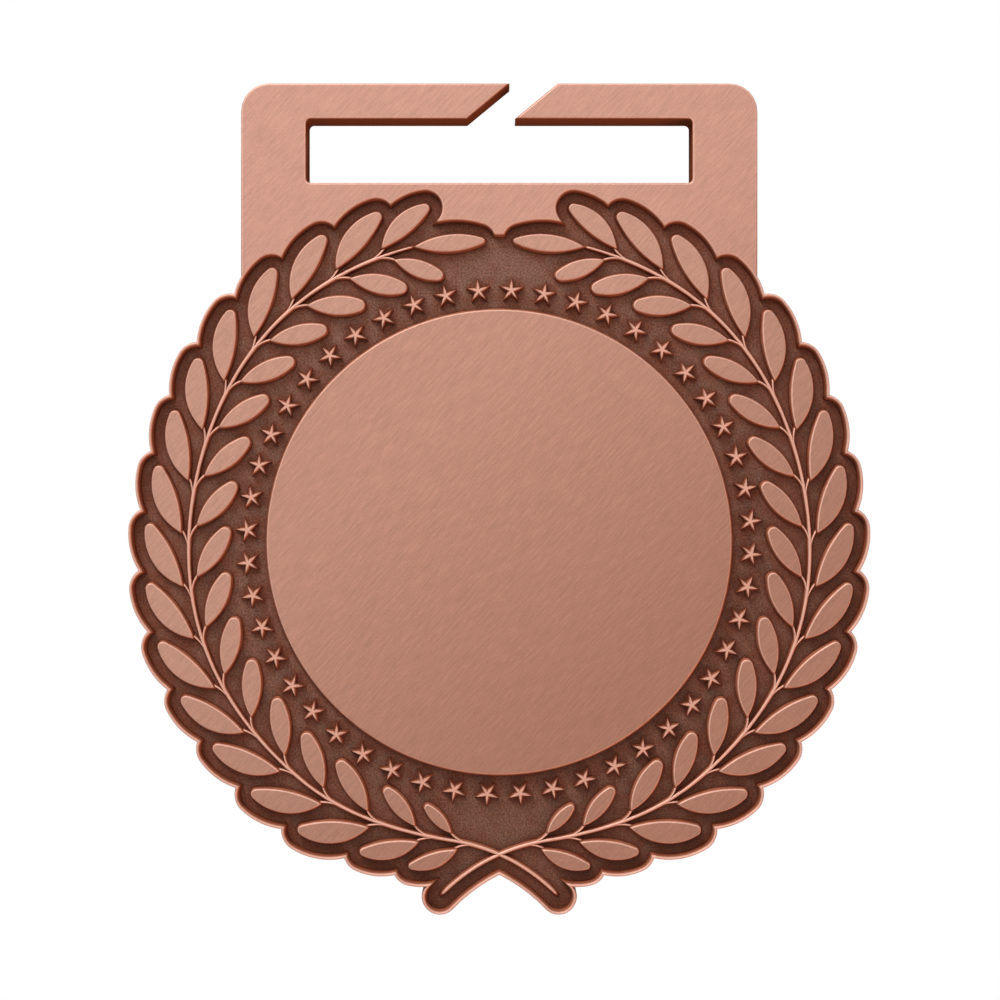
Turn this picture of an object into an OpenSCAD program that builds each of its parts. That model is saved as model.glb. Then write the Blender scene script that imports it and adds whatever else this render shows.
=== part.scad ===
// Sports finisher medal: a heavy plate with a laurel wreath in relief, a ring of stars and
// a bare centre disc, hung from a ribbon bar with a slanting slit for threading the ribbon.
// It stands as it hangs: +X to the right, +Z up, and the relief looks along -Y. The origin
// is the middle of the centre disc, on the flat back.
// Azimuths run clockwise from the top, and the right-hand branch is the one drawn.

/* [Plate] */
// Thickness of the ground plate behind the relief
plate_t = 2.8; // [1.8:0.1:4]
// Height of the rim and the ribbon bar's face over the ground
rim_h = 1.2; // [0.9:0.1:2]
// Width of the rim that follows the leaves
rim_w = 0.53; // [0.4:0.01:0.9]
// Ground left between the outer leaves and the rim
leaf_margin = 1.07; // [0.8:0.01:1.2]
// Ground left between a branch's tip leaf and the ribbon bar's face
crown_margin = 1.2; // [1:0.01:1.3]
// Ground left beside the middle line of a stem's tail
tail_margin = 1.45; // [1.3:0.01:1.6]

/* [Ribbon bar] */
// Width of the bar
bar_w = 55.6; // [50:0.2:62]
// Radius of the bar's two top corners
bar_corner_r = 3; // [1:0.25:5]
// Width of the ribbon slot, for a ribbon 38 mm wide
slot_w = 41.6; // [30:0.2:44]
// Height of the ribbon slot
slot_h = 6.9; // [4.5:0.1:8]
// Height of the metal over the slot
bridge_h = 3.8; // [2.5:0.1:5]
// Distance of the slot's lower edge from the circle of the wreath's stems
slot_offset = 5.1; // [4.6:0.1:8]
// Radius of the slot's corners
slot_corner_r = 0.5; // [0.2:0.05:1.5]
// Width of the threading slit, measured along the bar
slit_w = 5.2; // [2:0.1:8]
// Slope of the slit's sides from the horizontal
slit_slope = 39.5; // [30:0.5:80]
// Distance of the slit's middle to the right of the medal's middle
slit_offset = 1.4; // [-8:0.1:8]

/* [Centre disc] */
// Diameter of the centre disc at its foot; everything round it moves with its edge
disc_d = 50.6; // [40:0.2:60]
// Height of the disc over the ground
disc_h = 1; // [0.4:0.05:1.6]
// Distance by which the disc's side leans in from foot to face
disc_draft = 0.4; // [0.1:0.05:0.6]

/* [Stars] */
// Number of stars in the ring
star_count = 48; // [24:1:48]
// Distance of the stars' middles from the disc's edge
star_offset = 1.9; // [1.6:0.05:2.4]
// Radius of a star to its points
star_r = 1.43; // [0.8:0.01:1.5]
// Radius of the notches between a star's points
star_notch_r = 0.56; // [0.3:0.01:0.8]
// Height of a star over the ground
star_h = 0.8; // [0.3:0.05:1.2]
// Azimuth of the first star
star_start = 2.75; // [0:0.05:7.5]

/* [Stems] */
// Distance of a branch's stem from the stars' middles
wreath_offset = 6.4; // [5.4:0.05:8]
// Rise and fall of the stem's gentle wave
wave_h = 0.17; // [0:0.01:0.3]
// Azimuth of the wave's first crest
wave_crest = 47; // [40:1:54]
// Azimuth between two crests
wave_pitch = 62; // [50:1:75]
// How far the stem draws in before the two stems cross
foot_dip = 1.14; // [0.6:0.02:1.4]
// How far the stem draws in towards its tip leaf
tip_dip = 0.2; // [0:0.02:0.4]
// Radius of the curved tail past the crossing
tail_r = 20.3; // [17:0.1:24]
// Angle through which the tail turns down
tail_turn = 37.3; // [32:0.1:42]
// Width of a stem at its foot
stem_w = 0.66; // [0.4:0.02:0.9]
// Height of a stem over the ground
stem_h = 0.62; // [0.3:0.02:1]
// Width of a leaf stalk at its foot
stalk_w = 0.42; // [0.3:0.02:0.6]

/* [Leaves] */
// Pairs of leaves on each branch
pair_count = 17; // [14:1:18]
// Azimuth at which the first pair's outer leaf springs
pair_start = 22.3; // [21:0.1:24]
// Azimuth at which the last pair's outer leaf springs
pair_end = 172.6; // [170:0.2:174]
// Height of the leaves over the ground
leaf_h = 0.9; // [0.4:0.05:1.2]
// Distance by which a leaf's sides lean in from foot to top
leaf_draft = 0.34; // [0.15:0.01:0.4]
// Distance of every leaf's base from the stem's middle line
leaf_offset = 0.6; // [0.5:0.02:0.8]
// Length of an outer leaf as a share of the distance between two pairs
outer_lap = 1.464; // [1.2:0.002:1.6]
// Ground left between the inner leaves and the stars' points
inner_margin = 0.2; // [0.2:0.02:1]
// Distance of a branch's tip leaf from the middle line
tip_offset = 1.33; // [1:0.02:2]
// Angle between the stem and an outer leaf
outer_splay = 23; // [18:0.5:28]
// Angle between the stem and an inner leaf
inner_splay = 38; // [34:0.5:42]
// Angle by which the leaf at a branch's tip turns on from the stem
tip_splay = 11.8; // [6:0.1:18]

/* [Hidden] */
$fn = 96;

FACE = "#c98f7c";
GROUND = "#5a3228";
REACH = 200;                      // longer than anything on the medal
CUT = 10;                         // height of a cutter, which runs past both faces

star_ring_r = disc_d / 2 + star_offset;
stem_r = star_ring_r + wreath_offset;
slot_y = stem_r + slot_offset;    // lower edge of the slot
bridge_y = slot_y + slot_h;       // underside of the metal over the slot
bar_top = bridge_y + bridge_h;
bar_foot = sqrt(stem_r * stem_r - bar_w * bar_w / 4); // the bar's sides end inside the wreath
crown_drop = 0.6;                 // how far the bar's face comes down inside the stems' circle
crown_r = stem_r - crown_drop;    // edge of the ground between the two tips
tail_from = 171;                  // azimuth at which a stem's tail begins
foot_from = 140;                  // azimuth at which a stem starts to draw in for the crossing
tip_from = 42;                    // azimuth at which it starts to draw in for its tip
tip_azimuth = 16.7;               // azimuth at which a stem ends in its tip leaf
inner_lag = 1.45;                 // azimuth by which an inner leaf springs ahead of its pair
first_step = 0.95;                // the first pair's share of the usual pitch
last_step = 0.75;                 // the last pair's share of the usual pitch
last_turn = 5;                    // how much further the last outer leaf turns out
neck = 0.3;                       // length of a leaf's base that its stalk takes up
tip_step = 0.01;                  // how far a leaf's tip stands out from its sides
arc_step = 8;                     // longest step of angle along the edge of the ground
pair_pitch = (pair_end - pair_start) / (pair_count - 3 + first_step + last_step);

// A leaf is [widest point and half width on its clockwise side, the same on its other
// side, radius of its tip] as shares of its length, at its foot.
OUTER_LEAF = [0.529, 0.22, 0.6, 0.122, 0.095];
INNER_LEAF = [0.569, 0.177, 0.569, 0.186, 0.126];
TIP_LEAF = [0.57, 0.16, 0.51, 0.113, 0.061];

function polar(r, azimuth) = [r * sin(azimuth), r * cos(azimuth)];
function unit(v) = v / norm(v);
function turned(v, angle) = [v.x * cos(angle) - v.y * sin(angle), v.x * sin(angle) + v.y * cos(angle)];
function flipped(v) = [-v.x, v.y];
function placed(v, base, heading) = base + turned(v, 90 - heading);

// 0 before x0 and 1 past x1, with a smooth rise between
function ramp(x, x0, x1) = pow(sin(90 * min(max((x - x0) / (x1 - x0), 0), 1)), 2);

// The stem's middle line, and the heading along it towards its tip, clockwise from up
function stem_radius(a) = stem_r + wave_h * cos(360 * (a - wave_crest) / wave_pitch)
    - foot_dip * ramp(a, foot_from, tail_from)
    - tip_dip * pow(max(tip_from - a, 0) / (tip_from - tip_azimuth), 2);
function stem_point(a) = polar(stem_radius(a), a);
function stem_heading(a) = let (d = stem_point(a - 0.5) - stem_point(a + 0.5)) atan2(d.x, d.y);

// The tail is an arc that leaves the stem without a kink
tail_start = stem_point(tail_from);
tail_dir = -polar(1, stem_heading(tail_from));
tail_centre = tail_start + tail_r * turned(tail_dir, 90);
function tail_point(turn) = tail_centre + turned(tail_start - tail_centre, turn);

// Where the leaves spring from, and their headings
function outer_base(i) = let (a = pair_azimuth(i)) polar(stem_radius(a) + leaf_offset, a);
function outer_heading(i) = stem_heading(pair_azimuth(i)) + outer_splay + (i == pair_count - 1 ? last_turn : 0);
function inner_azimuth(i) = pair_azimuth(i) - inner_lag;
function inner_base(i) = let (a = inner_azimuth(i)) polar(stem_radius(a) - leaf_offset, a);
function inner_heading(i) = stem_heading(inner_azimuth(i)) - inner_splay;
tip_base = stem_point(tip_azimuth);
tip_heading = stem_heading(tip_azimuth) - tip_splay;

// The first and the last steps from pair to pair are a little shorter than the others
function pair_azimuth(i) = pair_start
    + pair_pitch * (i - (i > 0 ? 1 - first_step : 0) - (i == pair_count - 1 ? 1 - last_step : 0));

// The leaves' lengths: the outer ones overlap by a share of their distance, the inner ones
// reach in to the stars, and the two tip leaves to the middle line. The first pair is a
// little smaller than the others, and the last two dwindle
outer_length = outer_lap * pair_pitch * PI / 180 * stem_r;
inner_length = (wreath_offset - leaf_offset - star_r - inner_margin) / sin(inner_splay);
tip_length = (tip_base.x - tip_offset) / sin(-tip_heading);
first_size = 0.9;
last_but_one_size = 0.85;
last_outer_size = 0.74;
last_inner_size = 0.69;
function leaf_size(i, last_size) = i == 0 ? first_size : i == pair_count - 2 ? last_but_one_size
    : i == pair_count - 1 ? last_size : 1;
function outer_leaf(i) = leaf_size(i, last_outer_size) * outer_length * OUTER_LEAF;
function inner_leaf(i) = leaf_size(i, last_inner_size) * inner_length * INNER_LEAF;
tip_leaf = tip_length * TIP_LEAF;

// Middle and radius of the arc that bounds a leaf on one side, side 1 being clockwise (-y)
function flank_r(at, half_w) = (at * at + half_w * half_w) / (2 * half_w);
function flank(at, half_w, side) = [[at, side * (flank_r(at, half_w) - half_w)], flank_r(at, half_w)];
function clockwise_flank(leaf) = flank(leaf[0], leaf[1], 1);
function other_flank(leaf) = flank(leaf[2], leaf[3], -1);

// The point at r1 from c1 and r2 from c2 that lies clockwise of the line from c1 to c2
function meeting(c1, r1, c2, r2) = let (
    d = norm(c2 - c1), u = (c2 - c1) / d, along = (d * d + r1 * r1 - r2 * r2) / (2 * d)
) c1 + along * u + sqrt(max(r1 * r1 - along * along, 0)) * [u.y, -u.x];

function tip_centre(leaf) = let (a = clockwise_flank(leaf), b = other_flank(leaf))
    meeting(b[0], b[1] - leaf[4], a[0], a[1] - leaf[4]);

// The edge of the ground runs from arc to arc. These are the circles of its right-hand
// half, each [centre, radius], from the notch at the bottom to the middle of the top:
// grow 0 is the inner edge of the rim
function edge_circles(grow) = concat(
    tail_circles(grow),
    [for (i = [pair_count - 1 : -1 : 0])
        each leaf_circles(outer_leaf(i), outer_base(i), outer_heading(i), leaf_margin + grow)],
    [other_circle(outer_leaf(0), outer_base(0), outer_heading(0), leaf_margin + grow)],
    grow > 0 ? [] : leaf_circles(tip_leaf, tip_base, tip_heading, crown_margin),
    [[[0, 0], crown_r + grow]]
);

function leaf_circles(leaf, base, heading, grow) = let (side = clockwise_flank(leaf)) [
    [placed(side[0], base, heading), side[1] + grow],
    [placed(tip_centre(leaf), base, heading), leaf[4] + grow]
];
function other_circle(leaf, base, heading, grow) = let (side = other_flank(leaf))
    [placed(side[0], base, heading), side[1] + grow];

// The left-hand stem's tail ends on the right: under it, round its end and over it, unless
// the round end already runs into the last leaf's arc
function tail_circles(grow) = let (
    centre = flipped(tail_centre),
    end = [flipped(tail_point(tail_turn)), tail_margin + grow],
    last = leaf_circles(outer_leaf(pair_count - 1), outer_base(pair_count - 1),
        outer_heading(pair_count - 1), leaf_margin + grow)[0],
    apart = norm(last[0] - end[0]) > last[1] + end[1]
) concat(
    [[centre, tail_r - tail_margin - grow], end],
    apart ? [[centre, tail_r + tail_margin + grow]] : []
);

// Points along a circle from one corner up to, but not including, the next
function angle_of(v) = atan2(v.y, v.x);
function arc(circle, from, to, turn) = let (
    start = angle_of(from - circle[0]),
    sweep = (turn * (angle_of(to - circle[0]) - start) + 720) % 360,
    steps = ceil(sweep / arc_step)
) [for (k = [0 : steps - 1]) circle[0] + circle[1] * turned([1, 0], start + turn * sweep * k / steps)];

// The edge of the ground, all round. Every arc but the one under the tail bulges outward
function edge(grow) = let (
    circles = edge_circles(grow),
    last = len(circles) - 1,
    notch = [0, circles[0][0].y + sqrt(pow(circles[0][1], 2) - pow(circles[0][0].x, 2))],
    top = [0, crown_r + grow],
    corners = [
        notch,
        for (k = [1 : last]) meeting(circles[k - 1][0], circles[k - 1][1], circles[k][0], circles[k][1]),
        top
    ],
    half = [for (k = [0 : last]) each arc(circles[k], corners[k], corners[k + 1], k == 0 ? -1 : 1)]
) concat(half, [top], [for (k = [len(half) - 1 : -1 : 1]) flipped(half[k])]);

// The metal stands up as it hangs
module upright() rotate([90, 0, 0]) children();

// Everything past a leaf's tip centre, between the lines on which its tip meets its sides
module tip_wedge(leaf) {
    tip = tip_centre(leaf);
    a = REACH * unit(tip - clockwise_flank(leaf)[0]);
    b = REACH * unit(tip - other_flank(leaf)[0]);
    translate(tip) linear_extrude(leaf_h) polygon([[0, 0], b, b + a, a]);
}

// A leaf from its base at the origin, along +x: two sides and a round tip, all leaning in
// from foot to top
module leaf_body(leaf) {
    a = clockwise_flank(leaf);
    b = other_flank(leaf);
    difference() {
        intersection() {
            leaf_cone(a[0], a[1]);
            leaf_cone(b[0], b[1]);
        }
        tip_wedge(leaf);
    }
    intersection() {
        leaf_cone(tip_centre(leaf), leaf[4] + tip_step);
        tip_wedge(leaf);
    }
}

module leaf_cone(centre, r) translate(centre) cylinder(h = leaf_h, r1 = r, r2 = r - leaf_draft);

// A leaf of the wreath, with a flat where its stalk meets it
module leaf_solid(leaf) {
    intersection() {
        leaf_body(leaf);
        translate([neck, -REACH / 2, 0]) cube([REACH, REACH, leaf_h]);
    }
}

module at(base, heading) translate(base) rotate(90 - heading) children();

module ground(grow, height) linear_extrude(height) polygon(edge(grow));

// A block with round corners at the given radius, from a corner on
module rounded_block(corner, size, r) {
    translate([corner.x, corner.y + r, 0]) cube([size.x, size.y - 2 * r, size.z]);
    translate([corner.x + r, corner.y, 0]) cube([size.x - 2 * r, size.y, size.z]);
    for (x = [r, size.x - r], y = [r, size.y - r])
        translate([corner.x + x, corner.y + y, 0]) cylinder(h = size.z, r = r);
}

module bar_body(height)
    rounded_block([-bar_w / 2, bar_foot], [bar_w, bar_top - bar_foot, height], bar_corner_r);

module slot_and_slit(height) {
    rounded_block([-slot_w / 2, slot_y], [slot_w, slot_h, height], slot_corner_r);
    rise = bridge_h + 2;
    run = rise / tan(slit_slope);
    translate([slit_offset - (slit_w + run) / 2, bridge_y - 1, 0]) linear_extrude(height)
        polygon([[0, 0], [slit_w, 0], [slit_w + run, rise], [run, rise]]);
}

module star_outline() {
    polygon([for (k = [0 : 9]) polar(k % 2 == 0 ? star_r : star_notch_r, 36 * k)]);
}

// A stem or a stalk is a row of small blunt beads joined in turn
module ridge(points, widths, height) {
    for (i = [1 : len(points) - 1]) hull() {
        bead(points[i - 1], widths[i - 1], height);
        bead(points[i], widths[i], height);
    }
}

module bead(point, width, height) translate(point) cylinder(h = height, d1 = width, d2 = 0.45 * width, $fn = 8);

// A stalk leaves the stem behind its leaf's base, bends away and ends inside the leaf's neck
stalk_run = 2.6;                  // azimuth between a stalk's root and its leaf's base
stalk_bend = 0.35;                // how far its bend keeps to the stem, as a share
module stalk(a, base, heading) {
    root = stem_point(a + stalk_run);
    end = base + neck * polar(1, heading);
    middle = (root + end) / 2;
    bend = middle + stalk_bend * (stem_point(a + stalk_run / 2) - middle);
    ridge([root, bend, end], [stalk_w, stalk_w, stalk_w], stem_h);
}

module branch_stem() {
    step = 3.5;
    upper = [for (a = [tip_azimuth : step : tail_from - 1]) stem_point(a)];
    tail = [for (k = [0 : 10]) tail_point(tail_turn * k / 10)];
    points = concat(upper, tail);
    ridge(points, [for (i = [0 : len(points) - 1]) stem_w * (i == 0 ? 0.7 : 1)], stem_h);
}

// Where the two stems cross, each gives way to half of the other
module crossing_half(upper) {
    intersection() {
        mirror([1, 0, 0]) ridge([for (k = [0 : 10]) tail_point(tail_turn * k / 10)],
            [for (k = [0 : 10]) stem_w], stem_h);
        translate([-REACH / 2, -REACH, upper ? stem_h / 2 : 0]) cube([REACH, REACH, stem_h / 2]);
    }
}

module on_ground() upright() translate([0, 0, plate_t]) children();
module left() mirror([1, 0, 0]) children();
module lowered() translate([0, 0, -1]) children();

module back_plate() color(GROUND) upright() difference() {
    union() {
        ground(rim_w, plate_t);
        bar_body(plate_t);
    }
    lowered() slot_and_slit(CUT);
}

module ribbon_bar_face() color(FACE) on_ground() difference() {
    bar_body(rim_h);
    lowered() slot_and_slit(CUT);
    lowered() ground(0, CUT);
}

module scalloped_rim() color(FACE) on_ground() difference() {
    ground(rim_w, rim_h);
    lowered() ground(0, CUT);
    lowered() bar_body(CUT);
}

module centre_disc() color(FACE) on_ground() cylinder(h = disc_h, d1 = disc_d, d2 = disc_d - 2 * disc_draft);

module star_ring() color(FACE) on_ground() for (i = [0 : star_count - 1]) {
    a = star_start + 360 * i / star_count;
    translate(polar(star_ring_r, a)) rotate(-a) linear_extrude(star_h, scale = 0.2) star_outline();
}

module right_outer_leaves() color(FACE) on_ground()
    for (i = [0 : pair_count - 1]) at(outer_base(i), outer_heading(i)) leaf_solid(outer_leaf(i));

module right_inner_leaves() color(FACE) on_ground()
    for (i = [0 : pair_count - 1]) at(inner_base(i), inner_heading(i)) leaf_solid(inner_leaf(i));

module right_tip_leaf() color(FACE) on_ground() at(tip_base, tip_heading) leaf_solid(tip_leaf);

module branch_with_stalks() {
    branch_stem();
    for (i = [0 : pair_count - 1]) {
        stalk(pair_azimuth(i), outer_base(i), outer_heading(i));
        stalk(inner_azimuth(i), inner_base(i), inner_heading(i));
    }
}

module right_stem() color(FACE) on_ground() difference() {
    branch_with_stalks();
    crossing_half(true);
}

module left_stem() color(FACE) on_ground() left() difference() {
    branch_with_stalks();
    crossing_half(false);
}

module left_outer_leaves() left() right_outer_leaves();
module left_inner_leaves() left() right_inner_leaves();
module left_tip_leaf() left() right_tip_leaf();

back_plate();
ribbon_bar_face();
scalloped_rim();
centre_disc();
star_ring();
right_stem();
right_outer_leaves();
right_inner_leaves();
right_tip_leaf();
left_stem();
left_outer_leaves();
left_inner_leaves();
left_tip_leaf();
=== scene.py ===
from math import atan2, ceil, cos, degrees, pi, radians, sin, sqrt, tan

import bmesh
import bpy
from mathutils import Matrix, Vector


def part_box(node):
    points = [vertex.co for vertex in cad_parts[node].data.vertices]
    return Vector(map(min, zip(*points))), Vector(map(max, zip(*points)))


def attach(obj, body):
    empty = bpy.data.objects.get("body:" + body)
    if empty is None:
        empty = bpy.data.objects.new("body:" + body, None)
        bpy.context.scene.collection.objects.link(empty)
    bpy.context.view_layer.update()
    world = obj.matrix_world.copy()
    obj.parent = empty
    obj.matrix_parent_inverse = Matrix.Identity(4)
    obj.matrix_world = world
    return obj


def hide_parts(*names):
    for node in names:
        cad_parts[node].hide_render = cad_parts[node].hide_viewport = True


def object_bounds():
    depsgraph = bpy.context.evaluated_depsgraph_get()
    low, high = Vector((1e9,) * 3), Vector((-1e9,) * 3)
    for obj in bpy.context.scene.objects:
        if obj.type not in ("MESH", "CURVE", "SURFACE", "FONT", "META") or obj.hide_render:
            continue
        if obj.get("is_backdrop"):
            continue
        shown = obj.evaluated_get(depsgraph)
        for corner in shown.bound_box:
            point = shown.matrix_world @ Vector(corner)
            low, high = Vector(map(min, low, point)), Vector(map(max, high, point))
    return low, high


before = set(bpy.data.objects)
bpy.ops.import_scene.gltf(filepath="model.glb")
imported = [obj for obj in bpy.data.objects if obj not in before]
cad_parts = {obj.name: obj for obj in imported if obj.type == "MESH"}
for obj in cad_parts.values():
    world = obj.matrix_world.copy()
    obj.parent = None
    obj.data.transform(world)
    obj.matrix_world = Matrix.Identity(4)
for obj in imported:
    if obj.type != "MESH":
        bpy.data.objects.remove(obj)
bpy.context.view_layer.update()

# ---------------------------------------------------------------------------------------
# Studio: a plain pale floor in white surroundings, lit by four soft lamps. The key draws
# the relief, a large one at the upper left also shines in the copper, a faint warm one
# fills in from the lower right, and one lights the back.
# ---------------------------------------------------------------------------------------
MM = 0.001                      # in metres
WHITE = (1, 1, 1, 1)


def shader(name):
    """A new material, its node tree, and the output node, which is all that is in it."""
    material = bpy.data.materials.new(name)
    material.use_nodes = True
    tree = material.node_tree
    tree.nodes.clear()
    return material, tree, tree.nodes.new("ShaderNodeOutputMaterial")


def put(tree, kind, settings=None, **sockets):
    """Adds a node. Each socket, given by name or as _number, gets a value or what feeds it."""
    node = tree.nodes.new("ShaderNode" + kind)
    for name, value in (settings or {}).items():
        setattr(node, name, value)
    for name, value in sockets.items():
        key = int(name[1:]) if name[0] == "_" else name.replace("_", " ")
        if isinstance(value, bpy.types.NodeSocket):
            tree.links.new(value, node.inputs[key])
        else:
            node.inputs[key].default_value = value
    return node


def mix_colours(tree, factor, first, second):
    """The first colour where the factor is 0, and the second where it is 1."""
    return put(tree, "Mix", {"data_type": "RGBA"}, _0=factor, _6=first, _7=second).outputs[2]


def seen_white(tree):
    """1 for the rays that see the surroundings: camera, mirror and transmission rays."""
    rays = put(tree, "LightPath").outputs
    seen = rays["Is Camera Ray"]
    for kind in ("Is Glossy Ray", "Is Transmission Ray"):
        seen = put(tree, "Math", {"operation": "MAXIMUM"}, _0=seen, _1=rays[kind]).outputs[0]
    return seen


FLOOR_R = 4
FLOOR_DROP = 0.32               # from the middle of the disc down to the floor
FLOOR_TONE = (0.8, 0.84, 0.88, 1)
FLOOR_CLEAR = 0.1               # the floor takes the lamps' light within this distance
FLOOR_WHITE = 0.3               # and is plain white to the eye beyond this one

bm = bmesh.new()
bmesh.ops.create_circle(bm, cap_ends=True, segments=64, radius=FLOOR_R)
bmesh.ops.translate(bm, verts=bm.verts, vec=(0, 0, -FLOOR_DROP))
floor_mesh = bpy.data.meshes.new("floor")
bm.to_mesh(floor_mesh)
bm.free()
floor = bpy.data.objects.new("floor", floor_mesh)
bpy.context.scene.collection.objects.link(floor)
floor_paint, tree, output = shader("floor_paint")
place = put(tree, "TexCoord").outputs["Object"]
flat = put(tree, "VectorMath", {"operation": "MULTIPLY"}, _0=place, _1=(1, 1, 0))
away = put(tree, "VectorMath", {"operation": "LENGTH"}, _0=flat.outputs[0])
fade = put(tree, "MapRange", {"interpolation_type": "SMOOTHSTEP"}, Value=away.outputs["Value"],
           From_Min=FLOOR_CLEAR, From_Max=FLOOR_WHITE)
white = put(tree, "Math", {"operation": "MULTIPLY"}, _0=fade.outputs[0], _1=seen_white(tree))
lit = put(tree, "BsdfDiffuse", Color=FLOOR_TONE)
glow = put(tree, "Emission", Color=WHITE, Strength=1.0)
mixed = put(tree, "MixShader", _0=white.outputs[0], _1=lit.outputs[0], _2=glow.outputs[0])
tree.links.new(mixed.outputs[0], output.inputs["Surface"])
floor_mesh.materials.append(floor_paint)
floor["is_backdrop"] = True

FILL_TONE = (1, 0.7, 0.52, 1)
FILL_STRENGTH = 0.2
world = bpy.data.worlds.new("studio")
bpy.context.scene.world = world
world.use_nodes = True
tree = world.node_tree
tree.nodes.clear()
seen = seen_white(tree)
strength = put(tree, "MapRange", Value=seen, To_Min=FILL_STRENGTH, To_Max=1.0)
sky = put(tree, "Background", Color=mix_colours(tree, seen, FILL_TONE, WHITE), Strength=strength.outputs[0])
tree.links.new(sky.outputs[0], put(tree, "OutputWorld").inputs["Surface"])


def softbox(name, place, width, power, tint=(1, 1, 1), mirrored=False, spread=180):
    """A round soft lamp that faces the medal. The copper mirrors it only where mirrored is on."""
    lamp = bpy.data.lights.new(name, "AREA")
    lamp.shape, lamp.size, lamp.energy, lamp.color = "DISK", width, power, tint
    lamp.spread = radians(spread)
    holder = bpy.data.objects.new(name, lamp)
    holder.location = place
    holder.rotation_euler = (-Vector(place)).to_track_quat("-Z", "Y").to_euler()
    holder.visible_glossy = mirrored
    holder.visible_camera = False
    bpy.context.scene.collection.objects.link(holder)


softbox("key", (-0.025, -0.215, 0.165), width=0.13, power=0.355)
softbox("edge_light", (-0.27, -0.28, 0.53), width=0.3, power=3.6, mirrored=True)
softbox("bounce", (0.17, -0.12, -0.21), width=0.16, power=0.14, tint=(1, 0.4, 0.18), spread=100)
softbox("back_light", (0.2, 0.32, 0.25), width=0.3, power=0.9)

CAMERA_PLACE = (0.08 * MM, -198 * MM, 4.55 * MM)
HALF_ANGLE = 15.5
SENSOR_W = 36
lens = bpy.data.cameras.new("camera")
lens.sensor_width = SENSOR_W
lens.lens = SENSOR_W / 2 / tan(radians(HALF_ANGLE))
lens.clip_start = 0.01
camera = bpy.data.objects.new("camera", lens)
camera.location = CAMERA_PLACE
camera.rotation_euler = (radians(90), 0, 0)
bpy.context.scene.collection.objects.link(camera)
bpy.context.scene.camera = camera
bpy.context.scene.view_settings.view_transform = "Standard"

# ---------------------------------------------------------------------------------------
# Blank of the medal: a zinc die casting, plated with copper and antiqued. The same die makes
# its edge and its wreath, so the edge follows the leaves, and the branch comes first: the
# right-hand one, in azimuths that run clockwise from the top.
# ---------------------------------------------------------------------------------------
DISC_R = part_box("centre_disc")[1].x
STAR_OFFSET = 1.9 * MM          # from the disc's foot to the stars' middles
WREATH_OFFSET = 6.4 * MM        # from there to the stem
STAR_RING_R = DISC_R + STAR_OFFSET
STEM_R = STAR_RING_R + WREATH_OFFSET
WAVE_H, WAVE_CREST, WAVE_PITCH = 0.17 * MM, 47, 62              # the stem's gentle wave
TIP_AZIMUTH, TIP_FROM, TIP_DIP = 16.7, 42, 0.2 * MM             # it draws in to its tip leaf
TAIL_FROM, FOOT_FROM, FOOT_DIP = 171, 140, 1.14 * MM            # and for the crossing
TAIL_R, TAIL_TURN = 20.3 * MM, 37.3
PAIRS = 17
FIRST_PAIR, LAST_PAIR = 22.3, 172.6                             # where their outer leaves spring
FIRST_STEP, LAST_STEP = 0.95, 0.75                              # shares of the usual pitch
PAIR_PITCH = (LAST_PAIR - FIRST_PAIR) / (PAIRS - 3 + FIRST_STEP + LAST_STEP)
LEAF_OFFSET = 0.6 * MM          # from the stem's middle line to a leaf's base


def polar(radius, azimuth):
    return Vector((radius * sin(radians(azimuth)), radius * cos(radians(azimuth))))


def turned(v, angle):
    return Matrix.Rotation(radians(angle), 2) @ v


def flipped(v):
    return Vector((-v.x, v.y))


def placed(v, base, heading):
    """A point of a leaf that lies along x from its base, moved to where the leaf grows."""
    return base + turned(v, 90 - heading)


def ramp(x, low, high):
    """0 before low and 1 past high, with a smooth rise between."""
    return sin(radians(90 * min(max((x - low) / (high - low), 0), 1))) ** 2


def stem_point(a):
    wave = WAVE_H * cos(radians(360 * (a - WAVE_CREST) / WAVE_PITCH))
    foot = FOOT_DIP * ramp(a, FOOT_FROM, TAIL_FROM)
    tip = TIP_DIP * (max(TIP_FROM - a, 0) / (TIP_FROM - TIP_AZIMUTH)) ** 2
    return polar(STEM_R + wave - foot - tip, a)


def stem_heading(a):
    """Which way the stem runs on towards its tip, clockwise from up."""
    along = stem_point(a - 0.5) - stem_point(a + 0.5)
    return degrees(atan2(along.x, along.y))


def pair_azimuth(i):
    steps = i - (1 - FIRST_STEP) * (i > 0) - (1 - LAST_STEP) * (i == PAIRS - 1)
    return FIRST_PAIR + PAIR_PITCH * steps


tail_start = stem_point(TAIL_FROM)
tail_centre = tail_start + TAIL_R * turned(-polar(1, stem_heading(TAIL_FROM)), 90)


def tail_point(turn):
    return tail_centre + turned(tail_start - tail_centre, turn)


# A leaf is the distance of its widest point from its base and its half width there, on its
# clockwise side, the same on its other side, and the radius of its tip.
OUTER_LAP, OUTER_SPLAY = 1.464, 23          # length in steps from pair to pair; angle to the stem
OUTER_LENGTH = OUTER_LAP * radians(PAIR_PITCH) * STEM_R
OUTER_LEAF = [OUTER_LENGTH * share for share in (0.529, 0.22, 0.6, 0.122, 0.095)]
FIRST_SIZE, LAST_BUT_ONE_SIZE, LAST_OUTER_SIZE = 0.9, 0.85, 0.74
LAST_TURN = 5                               # how much further the last outer leaf turns out
TIP_SPLAY = 11.8                            # angle between the stem and its tip leaf
TIP_OFFSET = 1.33 * MM                      # from a tip leaf's end to the middle line
tip_base = stem_point(TIP_AZIMUTH)
tip_heading = stem_heading(TIP_AZIMUTH) - TIP_SPLAY
TIP_LENGTH = (tip_base.x - TIP_OFFSET) / sin(radians(-tip_heading))
TIP_LEAF = [TIP_LENGTH * share for share in (0.57, 0.16, 0.51, 0.113, 0.061)]


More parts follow.
